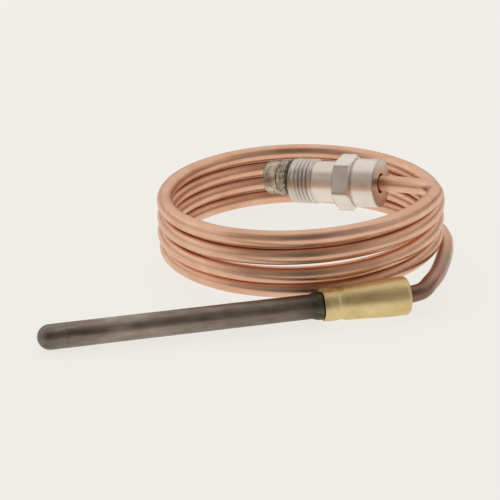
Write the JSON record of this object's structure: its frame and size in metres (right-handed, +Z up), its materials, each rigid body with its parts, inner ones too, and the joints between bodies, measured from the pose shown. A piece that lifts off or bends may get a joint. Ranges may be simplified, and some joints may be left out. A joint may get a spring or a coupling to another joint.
{
  "type": "thermocouple",
  "caption": "Gas safety thermocouple: straight steel probe with a brass mounting sleeve, a coiled copper lead and a threaded connection nut with a contact button.",
  "frame": {"origin": "middle of the footprint, on the surface the thermocouple lies on", "axes": "+Z up, +X along the thermocouple's length from the probe's tip side towards the lead's bend, -Y towards the side where the probe lies"},
  "size_m": [0.0742, 0.0694, 0.018],
  "materials": {
    "copper": "satin",
    "brass": "satin",
    "plated_steel": "satin",
    "sheath_steel": "satin",
    "element_alloy": "satin",
    "ceramic": "matte",
    "glass_braid": "matte",
    "fibre": "matte"
  },
  "bodies": {
    "probe_and_lead": {"hot_junction_cap": "sheath_steel", "outer_element_tube": "sheath_steel", "inner_element_rod": "element_alloy", "element_insulator": "ceramic", "sheath_collar": "sheath_steel", "mounting_sleeve": "brass", "cold_junction_bead": "element_alloy", "cold_junction_insulator": "ceramic", "cold_junction_ferrule": "brass", "lead_tube": "copper", "lead_insulation": "glass_braid", "lead_conductor": "copper", "contact_button": "plated_steel", "insulating_washer": "fibre", "contact_bush": "ceramic", "lead_ferrule": "plated_steel"},
    "nut": {"connection_nut": "plated_steel"}
  },
  "joints": [
    {"name": "nut_spin", "type": "hinge", "parent": "probe_and_lead", "child": "nut", "pos_m": [0.01442, 0.01337, 0.01231], "axis": [0.9001, -0.4178, 0.1236], "continuous": true}
  ]
}
